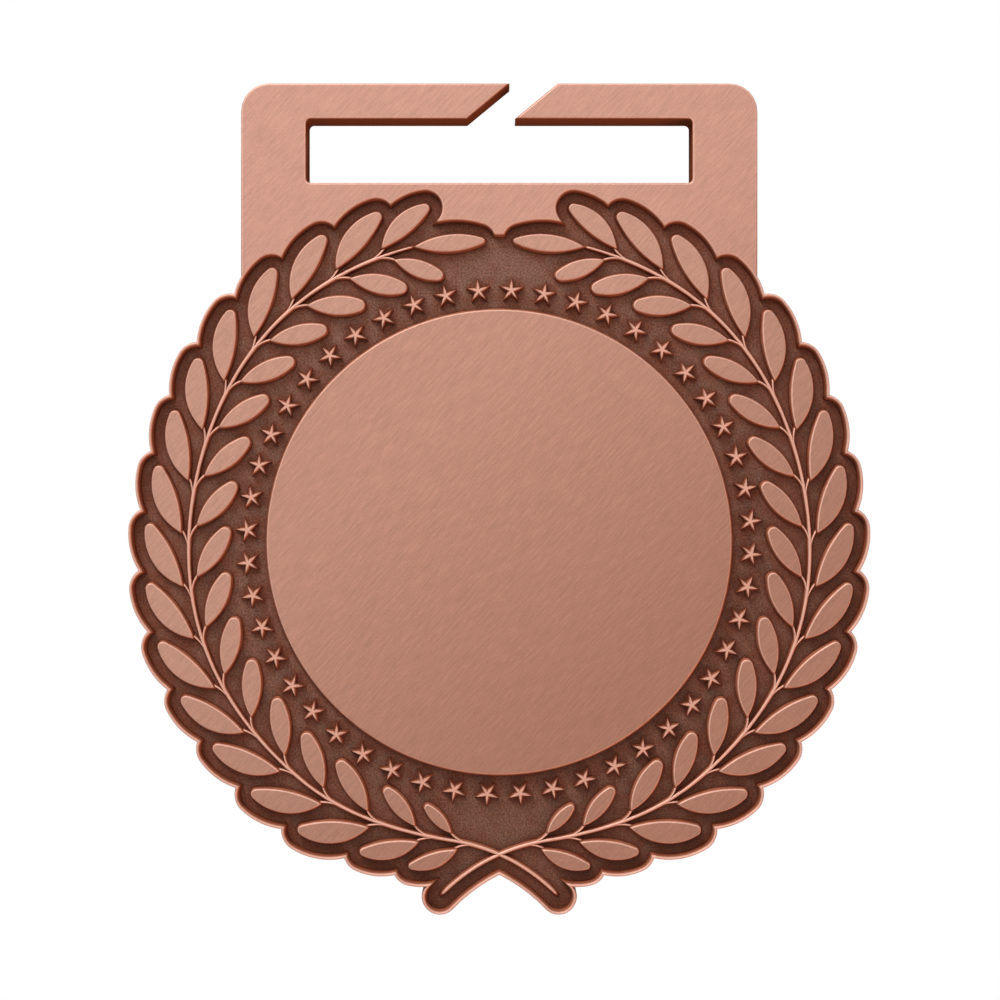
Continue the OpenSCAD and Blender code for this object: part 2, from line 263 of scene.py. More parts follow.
def sized(leaf, i, last_size):
    """A leaf of pair i: the first pair is a little smaller, and the last two dwindle."""
    size = {0: FIRST_SIZE, PAIRS - 2: LAST_BUT_ONE_SIZE, PAIRS - 1: last_size}.get(i, 1)
    return [size * length for length in leaf]


def outer_leaf(i):
    """The leaf, its base and its heading."""
    a = pair_azimuth(i)
    base = stem_point(a) + polar(LEAF_OFFSET, a)
    heading = stem_heading(a) + OUTER_SPLAY + (LAST_TURN if i == PAIRS - 1 else 0)
    return sized(OUTER_LEAF, i, LAST_OUTER_SIZE), base, heading


def flanks(leaf):
    """Centre and radius of the arcs that bound a leaf on its clockwise and its other side."""
    sides = []
    for at, half, side in ((leaf[0], leaf[1], 1), (leaf[2], leaf[3], -1)):
        radius = (at * at + half * half) / (2 * half)
        sides.append((Vector((at, side * (radius - half))), radius))
    return sides


def meeting(c1, r1, c2, r2):
    """The crossing of two circles that lies clockwise of the line from the first to the second."""
    d = (c2 - c1).length
    u = (c2 - c1) / d
    along = (d * d + r1 * r1 - r2 * r2) / (2 * d)
    return c1 + along * u + sqrt(max(r1 * r1 - along * along, 0)) * Vector((u.y, -u.x))


def leaf_tip(leaf):
    """Centre of a leaf's round tip."""
    (a, ra), (b, rb) = flanks(leaf)
    return meeting(b, rb - leaf[4], a, ra - leaf[4])


TOUCHING = 1e-7                 # points nearer than this are one point


def sweep_of(centre, start, end, turn):
    """The angle of an arc, for turn 1 anticlockwise and for -1 clockwise."""
    if (end - start).length < TOUCHING:
        return 0
    a, b = start - centre, end - centre
    return (turn * degrees(atan2(b.y, b.x) - atan2(a.y, a.x)) + 720) % 360


LEAF_MARGIN = 1.07 * MM         # ground between an outer leaf and the rim
TAIL_MARGIN = 1.45 * MM         # and beside the middle line of a tail
CROWN_MARGIN = 1.25 * MM        # and round a tip leaf
CROWN_SHARE = 0.945             # the share of a tip leaf's length that its scallop goes round
CROWN_DROP = 0.6 * MM           # how far the crown's flat lies inside the stems' circle


def edge_arcs(grow):
    """The edge, grown from the foot of the rim: for each arc its centre, corners and turn."""
    def round_leaf(leaf, base, heading, margin):
        (a, ra), (b, rb) = flanks(leaf)
        return [(placed(a, base, heading), ra + margin + grow),
                (placed(leaf_tip(leaf), base, heading), leaf[4] + margin + grow),
                (placed(b, base, heading), rb + margin + grow)]

    # The circles of the right half, from the notch at the foot: under, round and over the
    # tail, from leaf to leaf, and along the crown.
    under, end = flipped(tail_centre), flipped(tail_point(TAIL_TURN))
    tail_grow = TAIL_MARGIN + grow
    circles = [(under, TAIL_R - tail_grow), (end, tail_grow), (under, TAIL_R + tail_grow)]
    for i in range(PAIRS - 1, -1, -1):
        # A leaf's third arc lies behind the next leaf, but for the one beside the tip leaf.
        circles += round_leaf(*outer_leaf(i), LEAF_MARGIN)[: 2 if i else 3]
    short_tip = [CROWN_SHARE * length for length in TIP_LEAF]
    circles += round_leaf(short_tip, tip_base, tip_heading, CROWN_MARGIN)[:2]
    circles.append((Vector((0, 0)), STEM_R - CROWN_DROP + grow))

    corners = [Vector((0, under.y + sqrt(circles[0][1] ** 2 - under.x ** 2)))]
    corners += [meeting(*circles[k - 1], *circles[k]) for k in range(1, len(circles))]
    corners.append(Vector((0, circles[-1][1])))
    # An arc that its neighbours have overrun would turn backwards. It shrinks to their crossing.
    for k in range(1, len(circles) - 1):
        if sweep_of(circles[k][0], corners[k], corners[k + 1], 1) > 270:
            corners[k] = corners[k + 1] = meeting(*circles[k - 1], *circles[k + 1])
    # So does the short flat at the crown, where the two tip leaves' arcs cross.
    if corners[-2].x < 0:
        centre, radius = circles[-2]
        corners[-2] = corners[-1] = Vector((0, centre.y + sqrt(radius ** 2 - centre.x ** 2)))
    right = [(circles[k][0], corners[k], corners[k + 1], -1 if k == 0 else 1) for k in range(len(circles))]
    left = [(flipped(c), flipped(b), flipped(a), turn) for c, a, b, turn in reversed(right)]
    return right + left


# Every loop round the edge has the same steps, so that loops can be bridged.
ARC_STEP = 5                    # the longest one, in degrees
ARC_STEPS = [max(2, ceil(sweep_of(*arc) / ARC_STEP)) for arc in edge_arcs(0)]


def line_to(bm, pen, to):
    """Draws a straight edge on from a vertex, in the plane of the medal, to a new one."""
    new = bmesh.ops.extrude_vert_indiv(bm, verts=[pen])["verts"][0]
    new.co = (to.x, pen.co.y, to.y)
    return new


def arc_to(bm, pen, centre, end, turn, steps):
    """Draws an arc on from a vertex round a centre, to a new one."""
    start = Vector((pen.co.x, pen.co.z))
    angle = radians(turn * sweep_of(centre, start, end, turn))
    made = bmesh.ops.spin(bm, geom=[pen], cent=(centre.x, pen.co.y, centre.y), axis=(0, -1, 0),
                          angle=angle, steps=steps, use_duplicate=False)
    new = next(v for v in made["geom_last"] if isinstance(v, bmesh.types.BMVert))
    new.co = (end.x, pen.co.y, end.y)
    return new


def added(bm, part):
    """Moves a part drawn on its own into a mesh, and returns its edges there."""
    drawn = bpy.data.meshes.new("drawn")
    part.to_mesh(drawn)
    part.free()
    count = len(bm.edges)
    bm.from_mesh(drawn)
    bpy.data.meshes.remove(drawn)
    bm.edges.ensure_lookup_table()
    return bm.edges[count:]


def edge_loop(bm, grow, y):
    """Draws the whole edge as a closed loop at a depth, and returns its edges."""
    loop = bmesh.new()
    arcs = edge_arcs(grow)
    first = pen = loop.verts.new((arcs[0][1].x, y, arcs[0][1].y))
    for (centre, _, end, turn), steps in zip(arcs, ARC_STEPS):
        pen = arc_to(loop, pen, centre, end, turn, steps)
    bmesh.ops.pointmerge(loop, verts=[first, pen], merge_co=first.co)
    return added(bm, loop)


# The ribbon bar's outline, which the plate has as well, with the slot and the slit.
BAR_HALF, BAR_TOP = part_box("ribbon_bar_face")[1].xz
BAR_CORNER_R = 3 * MM
SLOT_HALF, SLOT_LOW, SLOT_HIGH = 20.8 * MM, 38.7 * MM, 45.6 * MM
SLOT_CORNER_R = 0.5 * MM
SLIT_W, SLIT_MIDDLE, SLIT_SLOPE = 5.2 * MM, 1.4 * MM, 39.5


def corner_to(bm, pen, corner, radius, way_in, way_out, steps=6):
    """Draws on to a square corner and rounds it; the two ways are the directions of travel."""
    way_in, way_out = Vector(way_in), Vector(way_out)
    pen = line_to(bm, pen, Vector(corner) - radius * way_in)
    centre = Vector(corner) - radius * way_in + radius * way_out
    turn = 1 if way_in.x * way_out.y - way_in.y * way_out.x > 0 else -1
    return arc_to(bm, pen, centre, Vector(corner) + radius * way_out, turn, steps)


def bar_contour(bm, pen):
    """Draws up the bar's right side, along its top, round the slot through the slit and down
    its left side, and returns the last vertex."""
    lean = (BAR_TOP - SLOT_HIGH) / tan(radians(SLIT_SLOPE))
    low_left, high_left = SLIT_MIDDLE - (SLIT_W + lean) / 2, SLIT_MIDDLE - (SLIT_W - lean) / 2
    up, down, right, left = (0, 1), (0, -1), (1, 0), (-1, 0)
    pen = corner_to(bm, pen, (BAR_HALF, BAR_TOP), BAR_CORNER_R, up, left)
    pen = line_to(bm, pen, Vector((high_left + SLIT_W, BAR_TOP)))
    pen = line_to(bm, pen, Vector((low_left + SLIT_W, SLOT_HIGH)))
    pen = corner_to(bm, pen, (SLOT_HALF, SLOT_HIGH), SLOT_CORNER_R, right, down)
    pen = corner_to(bm, pen, (SLOT_HALF, SLOT_LOW), SLOT_CORNER_R, down, left)
    pen = corner_to(bm, pen, (-SLOT_HALF, SLOT_LOW), SLOT_CORNER_R, left, up)
    pen = corner_to(bm, pen, (-SLOT_HALF, SLOT_HIGH), SLOT_CORNER_R, up, right)
    pen = line_to(bm, pen, Vector((low_left, SLOT_HIGH)))
    pen = line_to(bm, pen, Vector((high_left, BAR_TOP)))
    return corner_to(bm, pen, (-BAR_HALF, BAR_TOP), BAR_CORNER_R, left, down)


def with_bar(grow, y, keep_wreath):
    """A mesh of one flat face at a depth, and the face: the bar down to the edge of the
    wreath, and with keep_wreath the whole of the wreath too."""
    bm = bmesh.new()
    edge_loop(bm, grow, y)
    for x in (BAR_HALF, -BAR_HALF):
        bmesh.ops.bisect_plane(bm, geom=bm.verts[:] + bm.edges[:], dist=TOUCHING, plane_co=(x, 0, 0),
                               plane_no=(1, 0, 0))
    upper = [v for v in bm.verts if v.co.z > 0]
    ends = [v for v in upper if abs(abs(v.co.x) - BAR_HALF) < TOUCHING]
    left_end, right_end = sorted(ends, key=lambda v: v.co.x)
    behind_bar = [v for v in upper if abs(v.co.x) < BAR_HALF - TOUCHING]
    if keep_wreath:
        bmesh.ops.delete(bm, geom=behind_bar, context="VERTS")
    else:
        kept = set(behind_bar + ends)
        bmesh.ops.delete(bm, geom=[v for v in bm.verts if v not in kept], context="VERTS")
    pen = bar_contour(bm, right_end)
    line_to(bm, pen, Vector((left_end.co.x, left_end.co.z)))
    bmesh.ops.remove_doubles(bm, verts=bm.verts, dist=10 * TOUCHING)
    face = bmesh.ops.contextual_create(bm, geom=bm.edges)["faces"][0]
    return bm, face


def finish_piece(bm, name, *materials):
    """Makes a mesh an object of its own, at the origin, that rides on the medal's one body."""
    bmesh.ops.recalc_face_normals(bm, faces=bm.faces)
    mesh = bpy.data.meshes.new(name)
    bm.to_mesh(mesh)
    bm.free()
    for material in materials:
        mesh.materials.append(material)
    piece = bpy.data.objects.new(name, mesh)
    bpy.context.scene.collection.objects.link(piece)
    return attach(piece, "root")


SLOT_REACH = 0.1 * MM           # what lies within this of the slot is part of its edge


def in_slot(face):
    """Whether a face is one of the slot's or the slit's inner walls."""
    middle = face.calc_center_median()
    return (abs(face.normal.y) < 0.1 and abs(middle.x) < SLOT_HALF + SLOT_REACH
            and SLOT_LOW - SLOT_REACH < middle.z < BAR_TOP - SLOT_REACH)


def raised(bm, face, height):
    """Extrudes a flat face towards the front, and returns the new front face."""
    made = bmesh.ops.extrude_face_region(bm, geom=[face])["geom"]
    moved = [v for v in made if isinstance(v, bmesh.types.BMVert)]
    bmesh.ops.translate(bm, verts=moved, vec=(0, -height, 0))
    return next(f for f in made if isinstance(f, bmesh.types.BMFace))


# Finishes that the plate shares with the relief: tones of the plating as they look in plain
# light, the grain of the casting, and the dark in the hollows, partly patina and partly painted shade.


def tone(red, green, blue):
    """A colour from its screen values, 0 to 255."""
    return tuple(((c / 255 + 0.055) / 1.055) ** 2.4 for c in (red, green, blue)) + (1,)


def effect(name, inputs, outputs):
    """A new node group: its tree, its input node's sockets and its output node's."""
    group = bpy.data.node_groups.new(name, "ShaderNodeTree")
    for socket, kind, value in inputs:
        made = group.interface.new_socket(socket, in_out="INPUT", socket_type="NodeSocket" + kind)
        if value is not None:
            made.default_value = value
    for socket, kind in outputs:
        group.interface.new_socket(socket, in_out="OUTPUT", socket_type="NodeSocket" + kind)
    return group, group.nodes.new("NodeGroupInput").outputs, group.nodes.new("NodeGroupOutput").inputs


# Mottle and painted shade: dark in the hollows, partly patina and partly painted shade, from how
# much of the open a point sees, broken up by mottling.
MOTTLE_SCALE = 700              # patches of about 1.4 mm
mottle_and_painted_shade, given, result = effect("mottle_and_painted_shade", [
    ("Open", "Float", 1.0), ("Bare", "Color", None), ("Dark", "Color", None),
    ("From", "Float", 0.3), ("To", "Float", 0.9), ("Mottle", "Float", 0.2)],
    [("Color", "Color")])
place = put(mottle_and_painted_shade, "TexCoord").outputs["Object"]
cloud = put(mottle_and_painted_shade, "TexNoise", Vector=place, Scale=MOTTLE_SCALE, Detail=3.0, Roughness=0.6)
shift = put(mottle_and_painted_shade, "MapRange", Value=cloud.outputs[0], From_Min=0.3, From_Max=0.7,
            To_Min=-1.0, To_Max=1.0)
push = put(mottle_and_painted_shade, "Math", {"operation": "MULTIPLY_ADD"}, _0=shift.outputs[0],
           _1=given["Mottle"], _2=given["Open"])
mask = put(mottle_and_painted_shade, "MapRange", {"interpolation_type": "SMOOTHSTEP"}, Value=push.outputs[0],
           From_Min=given["From"], From_Max=given["To"], To_Min=1.0, To_Max=0.0)
shaded = mix_colours(mottle_and_painted_shade, mask.outputs[0], given["Bare"], given["Dark"])
mottle_and_painted_shade.links.new(shaded, result["Color"])

# Cast grain: the fine sandy surface of the casting, as a colour shift and a height.
GRAIN_SCALE = 5000              # grains of about 0.2 mm
cast_grain, given, result = effect("cast_grain", [("Color", "Color", None), ("Depth", "Float", 0.2)],
                                   [("Color", "Color"), ("Height", "Float")])
place = put(cast_grain, "TexCoord").outputs["Object"]
sand = put(cast_grain, "TexNoise", Vector=place, Scale=GRAIN_SCALE, Detail=3.0, Roughness=0.65)
change = put(cast_grain, "MapRange", Value=sand.outputs[0], From_Min=0.25, From_Max=0.75,
             To_Min=-1.0, To_Max=1.0)
amount = put(cast_grain, "Math", {"operation": "MULTIPLY_ADD"}, _0=change.outputs[0],
             _1=given["Depth"], _2=1.0)
shaded = put(cast_grain, "VectorMath", {"operation": "SCALE"}, _0=given["Color"], Scale=amount.outputs[0])
cast_grain.links.new(shaded.outputs[0], result["Color"])
cast_grain.links.new(sand.outputs[0], result["Height"])

# Painted falloff: painted shade that makes the copper darker and redder towards the foot of the medal and
# its right.
FALLOFF_SLOPE = (18, 0, -21)  # for each metre
FALLOFF_DARKEST = (0.78, 0.73, 0.7)     # the share of each primary that is left
painted_falloff, given, result = effect("painted_falloff", [("Color", "Color", None), ("Amount", "Float", 1.0)],
                                  [("Color", "Color")])
place = put(painted_falloff, "TexCoord").outputs["Object"]
slope = put(painted_falloff, "VectorMath", {"operation": "DOT_PRODUCT"}, _0=place, _1=FALLOFF_SLOPE)
falloff_share = put(painted_falloff, "MapRange", Value=slope.outputs["Value"], From_Min=-0.4, From_Max=0.6)
factor = put(painted_falloff, "Math", {"operation": "MULTIPLY"}, _0=falloff_share.outputs[0], _1=given["Amount"])
fallen_off = put(painted_falloff, "VectorMath", {"operation": "MULTIPLY"}, _0=given["Color"], _1=FALLOFF_DARKEST)
shaded = mix_colours(painted_falloff, factor.outputs[0], given["Color"], fallen_off.outputs[0])
painted_falloff.links.new(shaded, result["Color"])

# Brushing: fine lines across a face, as a colour shift and a height.
BRUSH_ANGLE = radians(47)
BRUSH_SCALE = (380, 0, 4200)    # lines about 2.6 mm long and 0.24 mm apart
brushing, given, result = effect("brushing", [
    ("Color", "Color", None), ("Angle", "Float", 0.0), ("Contrast", "Float", 0.05)],
    [("Color", "Color"), ("Height", "Float")])
place = put(brushing, "TexCoord").outputs["Object"]
turn = put(brushing, "VectorRotate", {"rotation_type": "Y_AXIS"}, Vector=place, Angle=given["Angle"])
stretch = put(brushing, "VectorMath", {"operation": "MULTIPLY"}, _0=turn.outputs[0], _1=BRUSH_SCALE)
coarse = put(brushing, "TexNoise", Vector=stretch.outputs[0], Scale=1.0, Detail=4.0, Roughness=0.8)
lines = put(brushing, "MapRange", Value=coarse.outputs[0], From_Min=0.25, From_Max=0.75,
            To_Min=-1.0, To_Max=1.0)
amount = put(brushing, "Math", {"operation": "MULTIPLY_ADD"}, _0=lines.outputs[0],
             _1=given["Contrast"], _2=1.0)
shaded = put(brushing, "VectorMath", {"operation": "SCALE"}, _0=given["Color"], Scale=amount.outputs[0])
brushing.links.new(shaded.outputs[0], result["Color"])
brushing.links.new(coarse.outputs[0], result["Height"])


def plating(name, metallic, roughness, specular=0.25):
    """A material with a Principled shader whose plain values are set on its own sockets."""
    material, tree, output = shader(name)
    skin = put(tree, "BsdfPrincipled", Metallic=metallic, Roughness=roughness,
               Specular_IOR_Level=specular)
    tree.links.new(skin.outputs[0], output.inputs["Surface"])
    return material, tree, skin


def use(tree, group, **sockets):
    """Places a node group in a material, and returns what it puts out."""
    return put(tree, "Group", {"node_tree": group}, **sockets).outputs


def open_sky(tree, distance):
    """How much of the open a point sees within a distance, 0 to 1."""
    return put(tree, "AmbientOcclusion", {"samples": 12}, Distance=distance).outputs["AO"]


def dress(tree, skin, colour, height=None, strength=0.0, depth=0.02 * MM):
    """Gives a material's shader its colour, and the bump of a height where it has one."""
    tree.links.new(colour, skin.inputs["Base Color"])
    if height:
        bump = put(tree, "Bump", Strength=strength, Distance=depth, Height=height)
        tree.links.new(bump.outputs[0], skin.inputs["Normal"])


# The ground: dark patina, darkest close to the relief, partly patina and partly painted shade, and paler in
# the open.
ground_patina, tree, skin = plating("ground_patina", metallic=0.25, roughness=0.6)
dark = use(tree, mottle_and_painted_shade, Open=open_sky(tree, 2.4 * MM), Bare=tone(118, 85, 71),
           Dark=tone(104, 58, 41), From=0.55, To=1.05, Mottle=0.18)
# Painted shade: a narrow dark line where the ground meets the relief.
close = use(tree, mottle_and_painted_shade, Open=open_sky(tree, 0.3 * MM), Bare=dark["Color"],
            Dark=tone(104, 52, 33), From=0.35, To=0.85, Mottle=0.1)
grain = use(tree, cast_grain, Color=close["Color"], Depth=0.8)
# Painted shade: darker and redder towards the foot of the medal and its right.
fallen_off = use(tree, painted_falloff, Color=grain["Color"], Amount=0.8)
dress(tree, skin, fallen_off["Color"], grain["Height"], strength=0.35, depth=0.03 * MM)

# Sides: satin copper, antiqued, with a little of the casting's grain.
side_copper, tree, skin = plating("side_copper", metallic=0.45, roughness=0.42)
dark = use(tree, mottle_and_painted_shade, Open=open_sky(tree, 1.5 * MM), Bare=tone(166, 110, 88),
           Dark=tone(96, 48, 34), From=0.2, To=0.8, Mottle=0.3)
grain = use(tree, cast_grain, Color=dark["Color"], Depth=0.07)
dress(tree, skin, grain["Color"], grain["Height"], strength=0.15)

# The back is brushed flat, and mottled by wear.
back_copper, tree, skin = plating("back_copper", metallic=0.3, roughness=0.45)
worn = use(tree, mottle_and_painted_shade, Bare=tone(192, 142, 123), Dark=tone(166, 114, 95),
           From=0.5, To=1.15, Mottle=0.25)
lines = use(tree, brushing, Color=worn["Color"], Angle=BRUSH_ANGLE, Contrast=0.22)
grain = use(tree, cast_grain, Color=lines["Color"], Depth=0.08)
dress(tree, skin, grain["Color"], lines["Height"], strength=0.1)

# Inside the slot the plating is dark, where no polishing reaches.
slot_patina, tree, skin = plating("slot_patina", metallic=0, roughness=0.9, specular=0)
grain = use(tree, cast_grain, Color=tone(118, 66, 44), Depth=0.15)
dress(tree, skin, grain["Color"])

# The plate: the whole outline, raised from its flat back.
PLATE_T = -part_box("back_plate")[0].y
RIM_W = 0.53 * MM
BACK_BEVEL = 0.3 * MM           # at most: the edge's shortest steps hold it to 0.05 mm
plate_finishes = [side_copper, ground_patina, slot_patina, back_copper]

bm, back = with_bar(RIM_W, 0, keep_wreath=True)
front = raised(bm, back, PLATE_T)
front.material_index = plate_finishes.index(ground_patina)
bmesh.ops.bevel(bm, geom=back.edges[:], offset=BACK_BEVEL, offset_type="OFFSET", segments=3,
                affect="EDGES", profile=0.5, material=-1, clamp_overlap=True)
bm.normal_update()
for face in bm.faces:
    if in_slot(face):
        face.material_index = plate_finishes.index(slot_patina)
    elif face.calc_center_median().y > -0.01 * MM:      # with the first facet of its bevel
        face.material_index = plate_finishes.index(back_copper)
plate = finish_piece(bm, "plate", *plate_finishes)
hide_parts("back_plate")

# ---------------------------------------------------------------------------------------
# Rim: a narrow rounded moulding round the ground, cast with it and paler on its crest, partly
# rubbed bright and partly painted highlight. Under the ribbon bar it runs on as the wall of the
# hollow that holds the leaves.
# ---------------------------------------------------------------------------------------
RIM_H = -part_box("scalloped_rim")[0].y - PLATE_T
# Distance out and height over the ground, in millimetres, from the inner foot to the outer.
RIM_SECTION = [(-0.06, 0), (0, 0.25), (0.05, 0.52), (0.11, 0.8), (0.17, 1.02), (0.23, 1.15), (0.3, 1.2),
               (0.37, 1.12), (0.43, 0.95), (0.49, 0.74), (0.53, 0.5), (0.53, 0)]

# Wall shading: polishing reaches a piece's face and the edge round it, and leaves the walls
# below brown. The pale edge is partly wear and partly painted highlight, and the brown walls are
# partly patina and partly painted shade. It puts out the colour, and 1 where the copper is rubbed bare.
EDGE_FADE = 0.06                # share of the height over which brown turns into edge
FACE_FROM = 0.998               # share of the height from which all is face
wall_shading, given, result = effect("wall_shading", [
    ("Top", "Float", 1.2 * MM), ("Face", "Color", None), ("Edge", "Color", None), ("Wall", "Color", None),
    ("Edge from", "Float", 0.8)], [("Color", "Color"), ("Rubbed", "Float")])
place = put(wall_shading, "SeparateXYZ", Vector=put(wall_shading, "TexCoord").outputs["Object"])
height = put(wall_shading, "Math", {"operation": "MULTIPLY_ADD"}, _0=place.outputs["Y"],
             _1=-1.0, _2=-PLATE_T)
share = put(wall_shading, "Math", {"operation": "DIVIDE"}, _0=height.outputs[0], _1=given["Top"])
low = put(wall_shading, "Math", {"operation": "SUBTRACT"}, _0=given["Edge from"], _1=EDGE_FADE)
edge = put(wall_shading, "MapRange", Value=share.outputs[0], From_Min=low.outputs[0],
           From_Max=given["Edge from"])
face = put(wall_shading, "Math", {"operation": "GREATER_THAN"}, _0=share.outputs[0], _1=FACE_FROM)
side = mix_colours(wall_shading, edge.outputs[0], given["Wall"], given["Edge"])
shaded = mix_colours(wall_shading, face.outputs[0], side, given["Face"])
wall_shading.links.new(shaded, result["Color"])
wall_shading.links.new(edge.outputs[0], result["Rubbed"])

# Tones of the relief: a pale edge, partly wear and partly painted highlight; brown walls and dark feet,
# partly patina and partly painted shade.
EDGE_WEAR_AND_HIGHLIGHT, WALL_PATINA_AND_SHADE, FOOT_PATINA_AND_SHADE = tone(216, 170, 153), tone(148, 90, 66), tone(112, 56, 36)
RUBBED_METAL = 0.15             # how metallic the rubbed copper is; the brown isn't


def relief_tones(tree, skin, top, face, edge_from, grain_depth):
    """The colour of a piece of relief: its face's own tone, a paler edge from a share of its
    height up, partly wear and partly painted highlight, brown walls and their dark feet, partly
    patina and partly painted shade. Only the rubbed copper shines as metal."""
    walls = use(tree, wall_shading, Top=top, Face=face, Edge=EDGE_WEAR_AND_HIGHLIGHT, Wall=WALL_PATINA_AND_SHADE, Edge_from=edge_from)
    metal = put(tree, "Math", {"operation": "MULTIPLY"}, _0=walls["Rubbed"], _1=RUBBED_METAL)
    tree.links.new(metal.outputs[0], skin.inputs["Metallic"])
    # Painted shade, partly patina: a wall turns dark down at its foot, where it sees little of the open.
    dark = use(tree, mottle_and_painted_shade, Open=open_sky(tree, 1.6 * MM), Bare=walls["Color"], Dark=FOOT_PATINA_AND_SHADE,
               From=0.5, To=0.75, Mottle=0.05)
    return use(tree, cast_grain, Color=dark["Color"], Depth=grain_depth)["Color"]


def satin_copper(name, top, face, edge_from=0.8):
    """Copper of the narrow relief, which is polished only by wear; its pale edge also carries painted
    highlight.
    """
    material, tree, skin = plating(name, metallic=0, roughness=0.45, specular=0.1)
    dress(tree, skin, relief_tones(tree, skin, top, face, edge_from, grain_depth=0.05))
    return material


def bridge(bm, loops):
    """Joins each loop to the next by a band of faces."""
    for lower, upper in zip(loops, loops[1:]):
        bmesh.ops.bridge_loops(bm, edges=lower + upper)


def smooth(bm):
    """Shades the faces as one round surface."""
    for face in bm.faces:
        face.smooth = True


rim_copper = satin_copper("rim_copper", RIM_H, tone(196, 150, 134))
bm = bmesh.new()
loops = [edge_loop(bm, grow * MM, -PLATE_T - height * MM) for grow, height in RIM_SECTION]
bridge(bm, loops + loops[:1])
bmesh.ops.remove_doubles(bm, verts=bm.verts, dist=TOUCHING)
smooth(bm)
rim = finish_piece(bm, "rim", rim_copper)
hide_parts("scalloped_rim")

# ---------------------------------------------------------------------------------------
# Ribbon bar: the flat hanger over the wreath, with the ribbon's slot and a slanting slit to
# thread it through. Its face is brushed, and its outer edges and the slot's are just broken.
# ---------------------------------------------------------------------------------------
BAR_H = -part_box("ribbon_bar_face")[0].y - PLATE_T
BAR_LAP = 0.3 * MM              # its scalloped lower edge lies under the rim's crest
EDGE_BREAK = 0.2 * MM


def brushed_copper(name, top, face, edge_from=0.8):
    """Copper of the broad flat faces, brushed, with painted shade that darkens it down the medal."""
    material, tree, skin = plating(name, metallic=0, roughness=0.5, specular=0.1)
    face = use(tree, painted_falloff, Color=face)["Color"]
    colour = relief_tones(tree, skin, top, face, edge_from, grain_depth=0.09)
    lines = use(tree, brushing, Color=colour, Angle=BRUSH_ANGLE, Contrast=0.2)
    dress(tree, skin, lines["Color"], lines["Height"], strength=0.05)
    return material


def on_scallops(edge):
    """Whether an edge belongs to the bar's scalloped lower side, which the rim covers."""
    return all(abs(v.co.x) < BAR_HALF - TOUCHING and v.co.z < SLOT_LOW - SLOT_REACH
               for v in edge.verts)


bar_copper = brushed_copper("bar_copper", BAR_H, tone(187, 145, 130), edge_from=0.98)
bar_finishes = [bar_copper, slot_patina]
bm, back = with_bar(BAR_LAP, -PLATE_T, keep_wreath=False)
front = raised(bm, back, BAR_H)
broken = [edge for edge in front.edges if not on_scallops(edge)]
bmesh.ops.bevel(bm, geom=broken, offset=EDGE_BREAK, offset_type="OFFSET", segments=2,
                affect="EDGES", profile=0.5, material=-1, clamp_overlap=False)
bm.normal_update()
for face in bm.faces:
    if in_slot(face):
        face.material_index = bar_finishes.index(slot_patina)
bar = finish_piece(bm, "ribbon_bar", *bar_finishes)
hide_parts("ribbon_bar_face")

# ---------------------------------------------------------------------------------------
# Centre disc: a bare brushed round, raised from the ground on a leaning side and cast with
# it. An engraved or printed insert can lie on its face.
# ---------------------------------------------------------------------------------------
DISC_H = -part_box("centre_disc")[0].y - PLATE_T
# Distance in from the foot and height over the ground, in millimetres.
DISC_SECTION = [(0.06, 0.3), (0.14, 0.55), (0.23, 0.76), (0.32, 0.92), (0.38, 1.0)]
DISC_STEPS = 180


def cap(bm, *rings):
    """Closes each ring of edges with one flat face."""
    for ring in rings:
        bmesh.ops.contextual_create(bm, geom=ring)["faces"][0].smooth = False


disc_copper = brushed_copper("disc_copper", DISC_H, tone(179, 138, 122))
bm = bmesh.new()
pen = bm.verts.new((DISC_R, -PLATE_T, 0))
for inset, height in DISC_SECTION:
    pen = bmesh.ops.extrude_vert_indiv(bm, verts=[pen])["verts"][0]
    pen.co = (DISC_R - inset * MM, -PLATE_T - height * MM, 0)
bmesh.ops.spin(bm, geom=bm.verts[:] + bm.edges[:], cent=(0, 0, 0), axis=(0, -1, 0), angle=2 * pi,
               steps=DISC_STEPS, use_merge=True, use_duplicate=False)
smooth(bm)
for y in (-PLATE_T, -PLATE_T - DISC_H):
    cap(bm, [e for e in bm.edges if all(abs(v.co.y - y) < TOUCHING for v in e.verts)])
disc = finish_piece(bm, "disc", disc_copper)
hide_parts("centre_disc")

# ---------------------------------------------------------------------------------------
# Stars: forty-eight small faceted stars in a ring round the disc, one point outwards. They
# are cast with the ground and rubbed bright on top, and their upper edges carry painted highlight.
# ---------------------------------------------------------------------------------------
STAR_H = -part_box("star_ring")[0].y - PLATE_T
STAR_COUNT, STAR_START = 48, 2.75           # how many, and the first one's azimuth
# Radius of the points, radius of the notches and height over the ground, in millimetres.
STAR_SECTION = [(1.43, 0.57, 0), (1.38, 0.52, 0.22), (1.22, 0.37, 0.5), (0.99, 0.2, 0.8)]

star_copper = satin_copper("star_copper", STAR_H, tone(208, 161, 144), edge_from=0.7)


def star_loop(bm, point_r, notch_r, height):
    """Draws a star's outline at a height, and returns its edges."""
    before = set(bm.edges)
    first = pen = bm.verts.new((0, -height * MM, point_r * MM))
    for k in range(1, 10):
        pen = line_to(bm, pen, polar((notch_r if k % 2 else point_r) * MM, 36 * k))
    bm.edges.new((pen, first))
    return [e for e in bm.edges if e not in before]


bm = bmesh.new()
loops = [star_loop(bm, *station) for station in STAR_SECTION]
bridge(bm, loops)
cap(bm, loops[0], loops[-1])
one_star = bpy.data.meshes.new("one_star")
bm.to_mesh(one_star)
bm.free()


